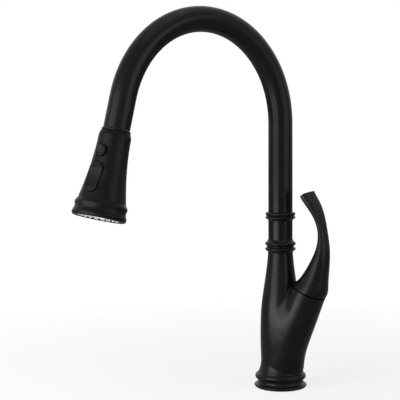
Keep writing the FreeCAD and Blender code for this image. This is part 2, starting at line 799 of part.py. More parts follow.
def face_plate():
    """Spray face with a hole for each nozzle and one for the aerator."""
    low = -HEAD_L + FACE_RECESS
    plate = rod(FACE_R, low, low + FACE_T)
    holes = [rod(NOZZLE_R, low - 1, low + FACE_T + 1, x, y) for x, y in nozzle_places()]
    holes.append(rod(AERATOR_R, low - 1, low + FACE_T + 1))
    return on_head(plate.cut(holes))


def nozzle_mat():
    """Soft mat behind the face whose nozzles stand out through the holes."""
    back = -HEAD_L + FACE_RECESS + FACE_T
    mat = tube(FACE_R - 0.6, AERATOR_R, back, back + 1.2)
    nozzles = []
    for x, y in nozzle_places():
        root = rod(NOZZLE_R, back - FACE_T, back, x, y)
        tip = Part.makeCone(NOZZLE_TIP_R, NOZZLE_R, 1.2, V(x, y, back - FACE_T - 1.2), Z_AXIS)
        nozzles += [root, tip]
    return on_head(mat.fuse(nozzles))


def aerator():
    """Round aerator in the middle of the face, with ring slots."""
    low = -HEAD_L + FACE_RECESS - 0.4
    body = rod(AERATOR_R, low, low + 7.0)
    cuts = [tube(r + 0.5, r - 0.5, low - 1, low + 3.0) for r in (2.2, 4.2, 6.2)]
    return on_head(body.cut(cuts))


def core_block():
    """Waterway block inside the shell, bored for the spool and the button's stem."""
    top = -CORE_TOP_H
    low = -HEAD_L + FACE_RECESS + 7.0
    block = rod(CORE_R, low, top)
    flange = rod(FACE_R - 0.8, low, low + 1.6)
    water = rod(3.2, low - 1, top + 1, 0, 4.4)
    spool_bore = rod(SPOOL_R + RUN, -ROCKER_H - 12, -ROCKER_H + 12, 0, SPOOL_Y)
    stem_bore = radial_rod(2.1, 2.0, CORE_R + 1, BUTTON_H)
    window = Part.makeBox(4.4, 8, 9, V(-2.2, -CORE_R - 1, -ROCKER_H - rocker_drop() - 4.5))
    return on_head(block.fuse(flange).cut([water, spool_bore, stem_bore, window]))


def dock_insert():
    """Hollow cone on top of the head that enters the tube."""
    return on_head(lathe(
        (INLET_R + RUN, -9.9),
        (DOCK_R - 0.6, -9.9),
        (DOCK_R - 0.6, -2.0),
        (DOCK_R - 0.6, -0.2),
        (DOCK_R, -0.2),
        (DOCK_TIP_R, DOCK_L - 2.0),
        (DOCK_TIP_R - 0.8, DOCK_L - 1.0),
        (INLET_R + RUN, DOCK_L - 1.0),
    ))


def swivel_inlet():
    """Turning hose inlet with its thread up in the tube and its flange in the head."""
    return on_dock(lathe(
        (INLET_BORE_R, -CORE_TOP_H + 0.2),
        (INLET_R + 1.6, -CORE_TOP_H + 0.2),
        (INLET_R + 1.6, -CORE_TOP_H + 1.9),
        (INLET_R, -CORE_TOP_H + 1.9),
        (INLET_R, DOCK_L + 0.5),
        (INLET_THREAD_R, DOCK_L + 0.5),
        (INLET_THREAD_R, DOCK_L + 0.5 - INLET_THREAD_L),
        (INLET_BORE_R, DOCK_L + 0.5 - INLET_THREAD_L),
    ))


def pause_button():
    """Round cap with a hollow underside and a stem."""
    surface = head_outline_r(BUTTON_H)
    face = surface + BUTTON_STAND
    cap = lathe(
        (0, face - 0.25),
        (BUTTON_R / 2, face - 0.25),
        (BUTTON_R - 1.4, face - 0.05),
        ((BUTTON_R - 0.35, face - 0.35), (BUTTON_R, face - 1.2)),
        (BUTTON_R, surface - 5.2 + BUTTON_TRAVEL + 0.3),
        (BUTTON_R - 1.2, surface - 5.2 + BUTTON_TRAVEL + 0.3),
        (BUTTON_R - 1.2, face - 1.5),
        (0, face - 1.5),
    )
    stem = rod(1.8, 5.5, face - 1.4)
    button = cap.fuse(stem)
    return on_head(moved(turned(button, X_AXIS, 90), 0, 0, -BUTTON_H))


def mode_rocker():
    """Oblong rocker with a shallow dip at its middle and a post on its underside."""
    body = oblong(ROCKER_L, ROCKER_W, -3.6, ROCKER_STAND)
    dip = Part.makeCylinder(60, ROCKER_W + 2, V(-ROCKER_W / 2 - 1, 0, 60 + ROCKER_STAND - 0.7), X_AXIS)
    under = oblong(ROCKER_L - 6, ROCKER_W - 4, -4, -2.2)
    barrel = rocker_pin_rod(2.2, ROCKER_W - 1.0)
    post = rod(ROCKER_POST_R, -rocker_post_length() - ROCKER_PIN_DEPTH, -ROCKER_PIN_DEPTH)
    pin = rocker_pin_rod(ROCKER_PIN_R + RUN, ROCKER_W + 4)
    rocker = body.cut([dip, under]).fuse([barrel, post]).cut(pin)
    return on_head(on_rocker(rocker))


def rocker_post_length():
    """From the rocker's pin to the middle of the spool's groove."""
    return head_outline_r(ROCKER_H) - ROCKER_PIN_DEPTH - 5.2


def rocker_pin():
    """Steel pin through the rocker."""
    return on_head(on_rocker(rocker_pin_rod(ROCKER_PIN_R, ROCKER_PIN_L)))


def diverter_spool():
    """Spool that the rocker's post slides up and down."""
    spool = rod(SPOOL_R, -ROCKER_H - SPOOL_HALF, -ROCKER_H + SPOOL_HALF, 0, SPOOL_Y)
    half = ROCKER_POST_R + 0.45
    groove = Part.makeBox(10, 6, 2 * half, V(-5, SPOOL_Y - 4.4, -ROCKER_H - rocker_drop() - half))
    return on_head(spool.cut(groove))


def rocker_drop():
    """How far the post's tip lies below the rocker's own height, along the head."""
    slope = math.radians(rocker_slope())
    reach = rocker_post_length() + ROCKER_PIN_DEPTH
    return reach * math.sin(slope)


NODES = {
    "base_ring": base_ring,
    "base_gasket": base_gasket,
    "body_shell": body_shell,
    "neck_collar": neck_collar,
    "swivel_washer": swivel_washer,
    "neck_bushes": neck_bushes,
    "neck_seal": neck_seal,
    "cartridge_housing": cartridge_housing,
    "seat_seals": seat_seals,
    "fixed_disc": fixed_disc,
    "moving_disc": moving_disc,
    "cartridge_carrier": cartridge_carrier,
    "stem_pin": stem_pin,
    "cartridge_stem": cartridge_stem,
    "cartridge_nut": cartridge_nut,
    "bonnet": bonnet,
    "lever_handle": lever_handle,
    "lever_screw": lever_screw,
    "lever_plug": lever_plug,
    "spout_tube": spout_tube,
    "spout_spigot": spout_spigot,
    "snap_ring": snap_ring,
    "spout_collar": spout_collar,
    "upper_collar": upper_collar,
    "dock_collar": dock_collar,
    "dock_bush": dock_bush,
    "spray_shell": spray_shell,
    "face_ring": face_ring,
    "face_plate": face_plate,
    "nozzle_mat": nozzle_mat,
    "aerator": aerator,
    "core_block": core_block,
    "dock_insert": dock_insert,
    "swivel_inlet": swivel_inlet,
    "pause_button": pause_button,
    "mode_rocker": mode_rocker,
    "rocker_pin": rocker_pin,
    "diverter_spool": diverter_spool,
}


def main():
    os.makedirs("parts", exist_ok=True)
    for name, make in NODES.items():
        shape = make()
        shape.exportStep(os.path.join("parts", name + ".step"))
        print(name, len(shape.Solids), shape.isValid(), round(shape.Volume))


main()
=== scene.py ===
import json
import math

import bpy
import numpy as np
from mathutils import Matrix, Vector
from mathutils.bvhtree import BVHTree


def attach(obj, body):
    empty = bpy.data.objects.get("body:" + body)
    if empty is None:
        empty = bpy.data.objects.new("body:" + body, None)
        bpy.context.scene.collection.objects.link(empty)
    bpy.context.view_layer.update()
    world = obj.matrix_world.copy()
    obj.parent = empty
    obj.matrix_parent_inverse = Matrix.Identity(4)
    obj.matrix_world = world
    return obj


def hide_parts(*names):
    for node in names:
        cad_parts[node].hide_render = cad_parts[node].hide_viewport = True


# A matte black single-lever kitchen faucet on a white ground.  Metres; the spout points to -Y.
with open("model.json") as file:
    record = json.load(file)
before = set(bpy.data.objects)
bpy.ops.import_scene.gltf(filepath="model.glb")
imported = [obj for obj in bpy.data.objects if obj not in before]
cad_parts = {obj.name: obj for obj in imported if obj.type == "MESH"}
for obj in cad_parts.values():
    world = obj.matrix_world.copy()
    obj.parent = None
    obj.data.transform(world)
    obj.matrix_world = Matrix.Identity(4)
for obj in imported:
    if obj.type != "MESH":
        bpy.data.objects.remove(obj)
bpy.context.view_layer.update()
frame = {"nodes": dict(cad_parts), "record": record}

# The photograph's frame is square; the camera's values come from fitting the faucet's outline
PHOTO_SIDE = 400
FOCAL_PX = 1156.1
CAMERA_AZIMUTH = math.radians(50.64)     # from -Y towards +X
CAMERA_PITCH = math.radians(-3.73)       # looks down a little
CAMERA_ROLL = math.radians(0.28)
CAMERA_DISTANCE = 1.2410
CAMERA_HEIGHT = 0.20271                  # height on the column's axis that the view passes through
CAMERA_SIDE = 0.08634                    # the column's axis lies this far right of the view's middle
CAMERA_REACH = 50.0
SENSOR = 36.0

# Lamps: name, degrees right of the camera, height, distance, width, tall side, power in watts
SOFTBOXES = (
    ("softbox_left", -50, 0.31, 0.8, 0.70, 0.60, 7.8),
    ("card_left", -50, 0.06, 0.5, 0.45, 0.11, 1.4),
    ("softbox_right", 55, 0.46, 1.3, 0.95, 0.92, 6.5),
    ("softbox_top", 40, 1.7, 0.35, 1.2, 1.0, 4.0),
)
LIT_POINT = Vector((0.0, -0.08, 0.2))
WORLD_FILL = 0.15
WORLD_SEEN = 1.0

# The floor: how much of it is plain white, near the faucet and from some way out
FLOOR_SIDE = 30.0
FLOOR_GREY = 0.90
FLOOR_WHITE_NEAR = 0.80
FLOOR_WHITE_FAR = 1.0
FLOOR_NEAR = 0.10
FLOOR_FAR = 0.60

# Surfaces: noise scales per metre, the range that noise mostly keeps to, and bump
COAT_CLOUD = 55.0
METAL_CLOUD = 90.0
CLOUD_DETAIL = 3.0
COAT_DETAIL = 2.0
METAL_DETAIL = 4.0
NOISE_ROUGHNESS = 0.5
METAL_ROUGHNESS = 0.6
NOISE_LOW = 0.3
NOISE_HIGH = 0.7
COAT_BUMP = 0.35
METAL_BUMP = 0.2
METAL_DEPTH = 0.00002

# Sizes in millimetres, where the frame doesn't give them
MM = 0.001
COLUMN_TOP = 285.2
ARCH_R = 104.6
TUBE_DROP = 35.3
RING_H = 17.7
CHAMBER_TOP = 50.0

# Spray head
HEAD_TILT = math.radians(14.5)
HEAD_TURN = math.radians(17.0)
HEAD_L = 84.4
DOCK_L = 20.0
FACE_RECESS = 1.6
FACE_T = 2.4
FACE_R = 22.6
AERATOR_R = 7.6
MAT_T = 1.2
MAT_OUT_R = FACE_R - 0.6
MAT_IN_R = AERATOR_R + 0.05
MAT_SEGMENTS = 72
NOZZLE_RINGS = ((19.0, 20), (15.0, 15), (11.2, 11))
NOZZLE_SEGMENTS = 14

# A nozzle's outline in radius and height above the face: root, taper, lip and bore
NOZZLE_OUTLINE = (
    (1.05, FACE_T + 0.1), (1.13, 0.2), (1.10, 0.0), (1.02, -0.4), (0.90, -1.0), (0.82, -1.17),
    (0.70, -1.2), (0.46, -1.2), (0.42, -1.1), (0.40, 0.4), (0.05, 0.45),
)

# Webs of the aerator; heights are above the face
WEBS = 12
WEB_TOP = 2.5
WEB_LOW = 0.1
WEB_IN_R = 1.75
WEB_OUT_R = 6.6
WEB_HALF = 0.17
WEB_EDGE_HALF = WEB_HALF * 0.4
WEB_TAPER = 0.12

# Female threads; depth, root and crest are shares of the pitch
THREAD_STEPS = 40                        # for each turn
THREAD_DEPTH = 0.28
THREAD_ROOT = 0.42
THREAD_CREST = 0.08
THREAD_BITE = 0.02                       # the ridge's foot lies this deep in the bore's wall
SHANK_BORE_R = 15.25
SHANK_PITCH = 1.5
SHANK_FROM = 0.4
SHANK_TO = 13.6
PORT_BORE_R = 4.46
PORT_FROM = CHAMBER_TOP + 0.3
PORT_TO = CHAMBER_TOP + 10.0
PORTS = (("hot_thread", 4.0, 9.6), ("cold_thread", 4.0, -9.6), ("outlet_thread", 10.3, 0.0))
HOSE_BORE_R = 5.5
HOSE_FROM = DOCK_L - 8.2
HOSE_TO = DOCK_L + 0.3
FINE_PITCH = 1.0

# Lever's branch and its seam
BRANCH_AZIMUTH = math.radians(18.5)
BRANCH_TILT = math.radians(24.0)
BRANCH_FOOT_OUT = 4.0
SEAM_OUT = 34.5
SEAM_Z = 107.0
SEAM_R = 18.9
SEAM_SET_BACK = 1.5
SEAM_SEGMENTS = 96
PIVOT_DEPTH = 12.0
CART_BORE_R = 12.8

# Bonnet
BONNET_WALL = 1.8
BONNET_HOLE = math.radians(31.5)
BONNET_SHELF = 1.2
BONNET_LIFT = 0.02
OUTER_STEPS = 10
INNER_STEPS = 5
NECK_L = 3.0
NECK_IN_R = CART_BORE_R - 1.5
NECK_OUT_R = CART_BORE_R - 0.05

# Skins over the casting, and how finely the casting is measured for them
SKIN = 0.03                              # the painted seam shade stands off and the valley's edges dip this much
RAY_FROM = 60.0
STEP = 1.0
TRUNK_FROM = RING_H + 0.3
TRUNK_TO = 118.0
BRANCH_FROM = 0.4
BRANCH_TO = 98.0
# Rows and largest radius of the near-black ring that paints the seam's shade
SHADE_RING_ROWS = (-0.95, -0.6, -0.3, -0.04)
SHADE_RING_MAX_R = SEAM_R + 1.0
VALLEY_FROM = RING_H + 0.02
VALLEY_TO = 112.6
VALLEY_COLUMNS = 25
VALLEY_LEFT = -8.0
VALLEY_RIGHT = 40.0
VALLEY_DEEPEST = 40.0
SEAM_MARGIN = 0.5
FINE_COLUMNS = 500
HALVINGS = 40

# Height, and how wide the trunk and the branch melt into each other there
MELT = (
    (17.7, 0.6), (40.0, 2.0), (58.0, 4.8), (68.0, 7.0), (78.0, 8.4),
    (88.0, 8.0), (96.0, 6.4), (104.0, 4.0), (109.0, 2.0), (113.0, 0.7),
)


# Frames of the object's parts

def head_frame():
    """From the spray head's own frame, in millimetres with the dock at its origin, to the scene."""
    out = ARCH_R * (1 + math.cos(HEAD_TILT)) + TUBE_DROP * math.sin(HEAD_TILT)
    up = COLUMN_TOP + ARCH_R * math.sin(HEAD_TILT) - TUBE_DROP * math.cos(HEAD_TILT)
    turn = Matrix.Rotation(-HEAD_TILT, 4, "X") @ Matrix.Rotation(HEAD_TURN, 4, "Z")
    return Matrix.Scale(MM, 4) @ Matrix.Translation((0.0, -out, up)) @ turn


def trunk_frame():
    """From the trunk's frame, in millimetres with +X towards the lever's branch, to the scene."""
    return Matrix.Scale(MM, 4) @ Matrix.Rotation(BRANCH_AZIMUTH, 4, "Z")


def branch_frame():
    """From the branch's frame, in millimetres with +Z along the cartridge from the seam, to the scene."""
    seam = Matrix.Translation((SEAM_OUT, 0.0, SEAM_Z)) @ Matrix.Rotation(BRANCH_TILT, 4, "Y")
    return trunk_frame() @ seam


# Camera

def camera_axes():
    """The view's own right, down and forward directions."""
    cos_a = math.cos(CAMERA_AZIMUTH)
    sin_a = math.sin(CAMERA_AZIMUTH)
    cos_p = math.cos(CAMERA_PITCH)
    sin_p = math.sin(CAMERA_PITCH)
    cos_r = math.cos(CAMERA_ROLL)
    sin_r = math.sin(CAMERA_ROLL)
    forward = Vector((-sin_a * cos_p, cos_a * cos_p, sin_p))
    right = Vector((cos_a, sin_a, 0.0))
    down = -right.cross(forward)
    return right * cos_r + down * sin_r, down * cos_r - right * sin_r, forward


def make_camera():
    """The camera at the photograph's viewing angle."""
    right, down, forward = camera_axes()
    data = bpy.data.cameras.new("photo_camera")
    data.sensor_fit = "HORIZONTAL"
    data.sensor_width = SENSOR
    data.lens = FOCAL_PX * SENSOR / PHOTO_SIDE
    data.clip_end = CAMERA_REACH
    camera = bpy.data.objects.new("photo_camera", data)
    place = Vector((0.0, 0.0, CAMERA_HEIGHT)) - forward * CAMERA_DISTANCE - right * CAMERA_SIDE
    turn = Matrix((right, -down, -forward)).transposed()
    camera.matrix_world = Matrix.Translation(place) @ turn.to_4x4()
    bpy.context.scene.collection.objects.link(camera)
    bpy.context.scene.camera = camera


# Light

def make_softbox(name, degrees, height, distance, width, tall, power):
    """An area lamp that faces the faucet."""
    angle = CAMERA_AZIMUTH + math.radians(degrees)
    place = LIT_POINT + Vector((math.sin(angle), -math.cos(angle), 0.0)) * distance
    place.z = height
    data = bpy.data.lights.new(name, "AREA")
    data.shape = "RECTANGLE"
    data.size = width
    data.size_y = tall
    data.energy = power
    lamp = bpy.data.objects.new(name, data)
    lamp.location = place
    lamp.rotation_euler = (LIT_POINT - place).to_track_quat("-Z", "Y").to_euler()
    bpy.context.scene.collection.objects.link(lamp)


def make_lights():
    """Two softboxes beside the camera, a low card at the left and a wide lamp above."""
    for softbox in SOFTBOXES:
        make_softbox(*softbox)


def combined(tree, operation, first, second):
    """Two values put together, kept between 0 and 1."""
    node = tree.nodes.new("ShaderNodeMath")
    node.operation = operation
    node.use_clamp = True
    tree.links.new(first, node.inputs[0])
    tree.links.new(second, node.inputs[1])
    return node.outputs[0]


def blended(tree, share, first, second):
    """The first shader, with a share of the second."""
    mix = tree.nodes.new("ShaderNodeMixShader")
    tree.links.new(share, mix.inputs[0])
    tree.links.new(first, mix.inputs[1])
    tree.links.new(second, mix.inputs[2])
    return mix.outputs[0]


def white_background(tree, strength):
    """Even white light from all round."""
    background = tree.nodes.new("ShaderNodeBackground")
    background.inputs["Color"].default_value = (1.0, 1.0, 1.0, 1.0)
    background.inputs["Strength"].default_value = strength
    return background.outputs[0]


def make_world():
    """White to the camera, in mirrors and through glass, and a low even fill for everything else."""
    world = bpy.data.worlds.new("studio")
    world.use_nodes = True
    tree = world.node_tree
    tree.nodes.clear()
    path = tree.nodes.new("ShaderNodeLightPath")
    seen = combined(tree, "ADD", path.outputs["Is Camera Ray"], path.outputs["Is Glossy Ray"])
    seen = combined(tree, "ADD", seen, path.outputs["Is Transmission Ray"])
    light = blended(tree, seen, white_background(tree, WORLD_FILL), white_background(tree, WORLD_SEEN))
    output = tree.nodes.new("ShaderNodeOutputWorld")
    tree.links.new(light, output.inputs["Surface"])
    bpy.context.scene.world = world


def make_floor():
    """A wide white floor that keeps a soft shadow near the faucet and runs out into white."""
    bpy.ops.mesh.primitive_plane_add(size=FLOOR_SIDE, location=(0.0, 0.0, 0.0))
    floor = bpy.context.object
    floor.name = "floor"
    material = bpy.data.materials.new("floor_white")
    material.use_nodes = True
    tree = material.node_tree
    tree.nodes.clear()
    diffuse = tree.nodes.new("ShaderNodeBsdfDiffuse")
    diffuse.inputs["Color"].default_value = (FLOOR_GREY, FLOOR_GREY, FLOOR_GREY, 1.0)
    glow = tree.nodes.new("ShaderNodeEmission")
    glow.inputs["Strength"].default_value = 1.0
    place = tree.nodes.new("ShaderNodeTexCoord")
    reach = tree.nodes.new("ShaderNodeVectorMath")
    reach.operation = "LENGTH"
    tree.links.new(place.outputs["Object"], reach.inputs[0])
    spread = tree.nodes.new("ShaderNodeMapRange")
    spread.inputs["From Min"].default_value = FLOOR_NEAR
    spread.inputs["From Max"].default_value = FLOOR_FAR
    spread.inputs["To Min"].default_value = FLOOR_WHITE_NEAR
    spread.inputs["To Max"].default_value = FLOOR_WHITE_FAR
    tree.links.new(reach.outputs["Value"], spread.inputs["Value"])
    path = tree.nodes.new("ShaderNodeLightPath")
    share = combined(tree, "MULTIPLY", path.outputs["Is Camera Ray"], spread.outputs["Result"])
    light = blended(tree, share, diffuse.outputs[0], glow.outputs[0])
    output = tree.nodes.new("ShaderNodeOutputMaterial")
    tree.links.new(light, output.inputs["Surface"])
    floor.data.materials.append(material)


# Materials

def new_material(name):
    """A principled material; returns it with its tree and its shader."""
    material = bpy.data.materials.new(name)
    material.use_nodes = True
    tree = material.node_tree
    return material, tree, tree.nodes["Principled BSDF"]


def noise(tree, scale, detail, roughness=NOISE_ROUGHNESS):
    """Noise in each piece's own coordinates."""
    place = tree.nodes.new("ShaderNodeTexCoord")
    texture = tree.nodes.new("ShaderNodeTexNoise")
    texture.inputs["Scale"].default_value = scale
    texture.inputs["Detail"].default_value = detail
    texture.inputs["Roughness"].default_value = roughness
    tree.links.new(place.outputs["Object"], texture.inputs["Vector"])
    return texture.outputs["Fac"]


def between(tree, source, low, high):
    """The noise spread over a range of values."""
    spread = tree.nodes.new("ShaderNodeMapRange")
    spread.inputs["From Min"].default_value = NOISE_LOW
    spread.inputs["From Max"].default_value = NOISE_HIGH
    spread.inputs["To Min"].default_value = low
    spread.inputs["To Max"].default_value = high
    tree.links.new(source, spread.inputs["Value"])
    return spread.outputs["Result"]


def tinted(tree, source, dark, light):
    """A colour between two, by the source."""
    mix = tree.nodes.new("ShaderNodeMix")
    mix.data_type = "RGBA"
    mix.inputs["A"].default_value = (*dark, 1.0)
    mix.inputs["B"].default_value = (*light, 1.0)
    tree.links.new(source, mix.inputs["Factor"])
    return mix.outputs["Result"]


def bumped(tree, shader, height, strength, distance):
    """Bump from a height onto the shader's normal."""
    bump = tree.nodes.new("ShaderNodeBump")
    bump.inputs["Strength"].default_value = strength
    bump.inputs["Distance"].default_value = distance
    tree.links.new(height, bump.inputs["Height"])
    tree.links.new(bump.outputs["Normal"], shader.inputs["Normal"])


def coated(name, dark, light, rough, grain, specular, depth):
    """Coating, plastic, rubber or ceramic: a slightly uneven colour with a grain of the given size."""
    material, tree, shader = new_material(name)
    cloud = between(tree, noise(tree, COAT_CLOUD, CLOUD_DETAIL), 0.0, 1.0)
    speck = noise(tree, 1.0 / grain, COAT_DETAIL)
    tree.links.new(tinted(tree, cloud, dark, light), shader.inputs["Base Color"])
    tree.links.new(between(tree, speck, *rough), shader.inputs["Roughness"])
    shader.inputs["Specular IOR Level"].default_value = specular
    bumped(tree, shader, speck, COAT_BUMP, depth)
    return material


def metal(name, dark, light, rough, grain):
    """Machined or ground metal with fine marks."""
    material, tree, shader = new_material(name)
    speck = noise(tree, 1.0 / grain, METAL_DETAIL, METAL_ROUGHNESS)
    cloud = between(tree, noise(tree, METAL_CLOUD, CLOUD_DETAIL), 0.0, 1.0)
    tree.links.new(tinted(tree, cloud, dark, light), shader.inputs["Base Color"])
    tree.links.new(between(tree, speck, *rough), shader.inputs["Roughness"])
    shader.inputs["Metallic"].default_value = 1.0
    bumped(tree, shader, speck, METAL_BUMP, METAL_DEPTH)
    return material


def make_materials():
    """One material for each slot of the record, and one near-black material that paints the shade in the
    lever's seam.
    """
    return {
        "black_metal": coated("powder_coat", (0.0026, 0.0026, 0.0028), (0.0040, 0.0040, 0.0042),
                              (0.25, 0.32), 0.00035, 0.095, 0.00001),
        "black_plastic": coated("black_moulding", (0.0026, 0.0026, 0.0028), (0.0040, 0.0040, 0.0042),
                                (0.30, 0.37), 0.0003, 0.065, 0.00001),
        "button_plastic": coated("button_black", (0.0040, 0.0040, 0.0042), (0.0055, 0.0055, 0.0057),
                                 (0.30, 0.36), 0.0003, 0.062, 0.00001),
        # Near-black with no specular: painted shade for the seam's chamfer
        "painted_seam_shade": coated("painted_seam_shade", (0.0008, 0.0008, 0.0008), (0.0012, 0.0012, 0.0012),
                              (0.60, 0.70), 0.0004, 0.0, 0.00001),
        "black_acetal": coated("black_acetal", (0.008, 0.008, 0.0084), (0.010, 0.010, 0.0105),
                               (0.30, 0.38), 0.0004, 0.09, 0.00001),
        "rubber": coated("black_rubber", (0.018, 0.018, 0.018), (0.026, 0.026, 0.026),
                         (0.60, 0.75), 0.0004, 0.2, 0.00003),
        "soft_grey": coated("grey_silicone", (0.30, 0.31, 0.32), (0.40, 0.41, 0.42),
                            (0.42, 0.55), 0.0004, 0.4, 0.00002),
        "white_plastic": coated("white_acetal", (0.70, 0.70, 0.68), (0.78, 0.78, 0.76),
                                (0.30, 0.40), 0.0005, 0.5, 0.00002),
        "ceramic": coated("lapped_ceramic", (0.82, 0.82, 0.80), (0.88, 0.88, 0.86),
                          (0.18, 0.26), 0.0006, 0.5, 0.00001),
        "brass": metal("machined_brass", (0.66, 0.50, 0.24), (0.78, 0.62, 0.32), (0.25, 0.38), 0.0006),
        "steel": metal("stainless_steel", (0.52, 0.52, 0.52), (0.62, 0.62, 0.61), (0.22, 0.34), 0.0005),
    }


def dress_nodes(materials):
    """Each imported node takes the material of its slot."""
    for part in frame["record"]["subparts"]:
        node = frame["nodes"][part["node"]]
        material = materials[part["material_slot"]]
        node.data.materials.clear()
        node.data.materials.append(material)


# Pieces that CAD leaves to the looks

def spread_evenly(first, last, steps):
    """Values from first to last in even steps."""
    return [first + (last - first) * i / steps for i in range(steps + 1)]


def add_piece(name, points, faces, body, slot, materials, frame_of, finish=None):
    """A smooth mesh piece from points in a frame in millimetres, riding on a body."""
    mesh = bpy.data.meshes.new(name)
    mesh.from_pydata([frame_of @ Vector(point) for point in points], [], faces)
    mesh.shade_smooth()
    mesh.update()
    piece = bpy.data.objects.new(name, mesh)
    bpy.context.scene.collection.objects.link(piece)
    mesh.materials.append(materials[finish or slot])
    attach(piece, body)
    return piece


def add_sheet(faces, first, rows, columns, closed=False, flip=False):
    """Quads of a grid of points, row by row; a closed grid joins its last column to its first."""
    for i in range(rows - 1):
        for j in range(columns if closed else columns - 1):
            a = first + i * columns + j
            b = first + i * columns + (j + 1) % columns
            c = b + columns
            d = a + columns
            faces.append((d, c, b, a) if flip else (a, b, c, d))


def add_turned(points, faces, outline, segments, x=0.0, y=0.0):
    """A turned form about a line along Z through (x, y), from (r, z) points, solid on their left."""
    first = len(points)
    for radius, z in outline:
        for i in range(segments):
            angle = 2 * math.pi * i / segments
            points.append((x + radius * math.cos(angle), y + radius * math.sin(angle), z))
    add_sheet(faces, first, len(outline), segments, closed=True, flip=True)


def make_nozzles(materials):
    """The soft mat with its nozzles, each with a lip and an open bore."""
    back = -HEAD_L + FACE_RECESS + FACE_T
    plate = back - FACE_T
    nozzle = [(radius, plate + up) for radius, up in NOZZLE_OUTLINE]
    points, faces = [], []
    for radius, count in NOZZLE_RINGS:
        for i in range(count):
            angle = 2 * math.pi * (i + 0.5) / count
            x = radius * math.cos(angle)
            y = radius * math.sin(angle)
            add_turned(points, faces, nozzle, NOZZLE_SEGMENTS, x, y)
    top = back + MAT_T
    mat = ((MAT_IN_R, back), (MAT_OUT_R, back), (MAT_OUT_R, top), (MAT_IN_R, top), (MAT_IN_R, back))
    add_turned(points, faces, mat, MAT_SEGMENTS)
    piece = add_piece("spray_nozzles", points, faces, "spray_head", "soft_grey", materials, head_frame())
    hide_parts("nozzle_mat")


def make_aerator_webs(materials):
    """Thin webs across the aerator's ring slots."""
    top = -HEAD_L + FACE_RECESS + WEB_TOP
    low = -HEAD_L + FACE_RECESS + WEB_LOW
    section = (
        (top, WEB_HALF), (low + WEB_TAPER, WEB_HALF), (low, WEB_EDGE_HALF),
        (low, -WEB_EDGE_HALF), (low + WEB_TAPER, -WEB_HALF), (top, -WEB_HALF),
    )
    points, faces = [], []
    for i in range(WEBS):
        angle = 2 * math.pi * i / WEBS
        cos_a = math.cos(angle)
        sin_a = math.sin(angle)
        first = len(points)
        for z, side in section:
            for reach in (WEB_IN_R, WEB_OUT_R):
                points.append((cos_a * reach - sin_a * side, sin_a * reach + cos_a * side, z))
        add_sheet(faces, first, len(section), 2)
    add_piece("aerator_webs", points, faces, "spray_head", "white_plastic", materials, head_frame())


def make_thread(name, bore_r, low, high, pitch, body, slot, materials, frame_of, x=0.0, y=0.0):
    """The ridge of a female thread inside a plain bore; it fades over half a turn at each end."""
    turns = (high - low) / pitch - 1.0
    count = int(turns * THREAD_STEPS)
    root_r = bore_r + THREAD_BITE
    points, faces = [], []
    for i in range(count + 1):
        angle = 2 * math.pi * i / THREAD_STEPS
        middle = low + pitch * (0.5 + i / THREAD_STEPS)
        fade = min(1.0, i / THREAD_STEPS * 2, (count - i) / THREAD_STEPS * 2)
        crest_r = bore_r - THREAD_DEPTH * pitch * fade
        for radius, shift in ((root_r, -THREAD_ROOT), (crest_r, -THREAD_CREST),
                              (crest_r, THREAD_CREST), (root_r, THREAD_ROOT)):
            points.append((x + radius * math.cos(angle), y + radius * math.sin(angle),
                           middle + shift * pitch))
    add_sheet(faces, 0, count + 1, 4, flip=True)
    add_piece(name, points, faces, body, slot, materials, frame_of)


def make_bonnet(materials):
    """Domed ring under the lever, set back from the seam so that the seam reads as a groove."""
    dome_r = math.hypot(SEAM_R, PIVOT_DEPTH)
    inner_r = dome_r - BONNET_WALL
    edge_r = SEAM_R - SEAM_SET_BACK
    hole_r = dome_r * math.sin(BONNET_HOLE)
    shelf_r = math.sqrt(inner_r ** 2 - (BONNET_SHELF + PIVOT_DEPTH) ** 2)

    def on_dome(radius, r):
        """The outline's point at that distance from the axis, on a dome of that radius."""
        return r, math.sqrt(radius ** 2 - r ** 2) - PIVOT_DEPTH

    outline = [(NECK_IN_R, BONNET_SHELF), (NECK_IN_R, -NECK_L), (NECK_OUT_R, -NECK_L),
               (NECK_OUT_R, BONNET_LIFT), (edge_r, BONNET_LIFT)]
    outline += [on_dome(dome_r, r) for r in spread_evenly(edge_r, hole_r, OUTER_STEPS)]
    outline += [on_dome(inner_r, r) for r in spread_evenly(hole_r, shelf_r, INNER_STEPS)]
    outline.append(outline[0])
    points, faces = [], []
    add_turned(points, faces, outline, SEAM_SEGMENTS)
    piece = add_piece("lever_bonnet", points, faces, "body", "black_metal", materials, branch_frame())
    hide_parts("bonnet")


def make_threads(materials):
    """Threads of the shank socket, the three ports in the trunk and the hose inlet."""
    trunk = trunk_frame()
    make_thread("shank_thread", SHANK_BORE_R, SHANK_FROM, SHANK_TO, SHANK_PITCH, "body", "black_metal",
                materials, trunk)
    for name, x, y in PORTS:
        make_thread(name, PORT_BORE_R, PORT_FROM, PORT_TO, FINE_PITCH, "body", "black_metal",
                    materials, trunk, x, y)
    make_thread("hose_thread", HOSE_BORE_R, HOSE_FROM, HOSE_TO, FINE_PITCH, "hose_inlet", "brass",
                materials, head_frame())


# Skins over the casting

def casting_tree():
    """The casting's faces, ready for rays."""
    casting = frame["nodes"]["body_shell"].data
    return BVHTree.FromPolygons([v.co for v in casting.vertices], [p.vertices for p in casting.polygons])


def outside_radius(tree, frame_of, origin, outward):
    """Radius of the casting at a point of an axis, by a ray from outside."""
    start = frame_of @ (Vector(origin) + Vector(outward) * RAY_FROM)
    heading = (frame_of.to_3x3() @ -Vector(outward)).normalized()
    return RAY_FROM - tree.ray_cast(start, heading)[3] / MM


